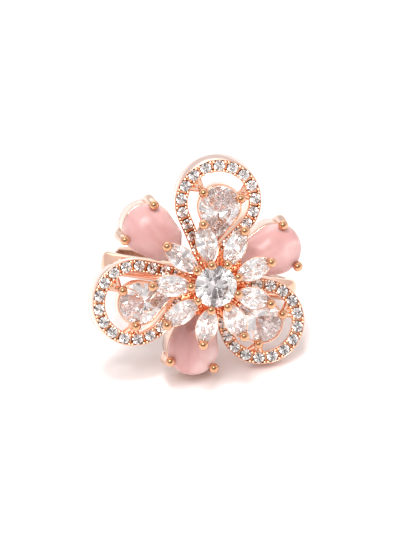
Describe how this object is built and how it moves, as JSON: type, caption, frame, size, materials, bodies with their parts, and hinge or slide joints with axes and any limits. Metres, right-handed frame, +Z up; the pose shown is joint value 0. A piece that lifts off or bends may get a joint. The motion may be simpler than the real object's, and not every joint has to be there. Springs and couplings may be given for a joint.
{
  "type": "cocktail ring",
  "caption": "Flower cocktail ring: round centre stone, marquise ring, haloed pear petals and pink cabochon petals on a D-shaped shank.",
  "frame": {"origin": "centre of the bounding box's base: the plane the ring lies on", "axes": "+Z up, flower faces -Y and leans back, +X to the right of someone who looks at the flower"},
  "size_m": [0.027, 0.0332, 0.0257],
  "materials": {
    "rose_gold": "polished rose gold plating",
    "clear_stone": "clear faceted stone",
    "pave_stone": "small clear faceted stones",
    "pink_stone": "smooth milky pink cabochon"
  },
  "bodies": {
    "root": {"shank": "rose_gold", "saddle": "rose_gold", "back_star": "rose_gold", "hub_post": "rose_gold", "centre_basket": "rose_gold", "centre_stone": "clear_stone", "marquise_cup_1": "rose_gold", "marquise_cup_2": "rose_gold", "marquise_cup_3": "rose_gold", "marquise_cup_4": "rose_gold", "marquise_cup_5": "rose_gold", "marquise_cup_6": "rose_gold", "marquise_cup_7": "rose_gold", "marquise_cup_8": "rose_gold", "marquise_cup_9": "rose_gold", "marquise_stone_1": "clear_stone", "marquise_stone_2": "clear_stone", "marquise_stone_3": "clear_stone", "marquise_stone_4": "clear_stone", "marquise_stone_5": "clear_stone", "marquise_stone_6": "clear_stone", "marquise_stone_7": "clear_stone", "marquise_stone_8": "clear_stone", "marquise_stone_9": "clear_stone", "halo_frame_1": "rose_gold", "halo_frame_2": "rose_gold", "halo_frame_3": "rose_gold", "pave_row_1": "pave_stone", "pave_row_2": "pave_stone", "pave_row_3": "pave_stone", "pear_basket_1": "rose_gold", "pear_basket_2": "rose_gold", "pear_basket_3": "rose_gold", "pear_stone_1": "clear_stone", "pear_stone_2": "clear_stone", "pear_stone_3": "clear_stone", "cabochon_basket_1": "rose_gold", "cabochon_basket_2": "rose_gold", "cabochon_basket_3": "rose_gold", "cabochon_1": "pink_stone", "cabochon_2": "pink_stone", "cabochon_3": "pink_stone"}
  },
  "joints": []
}
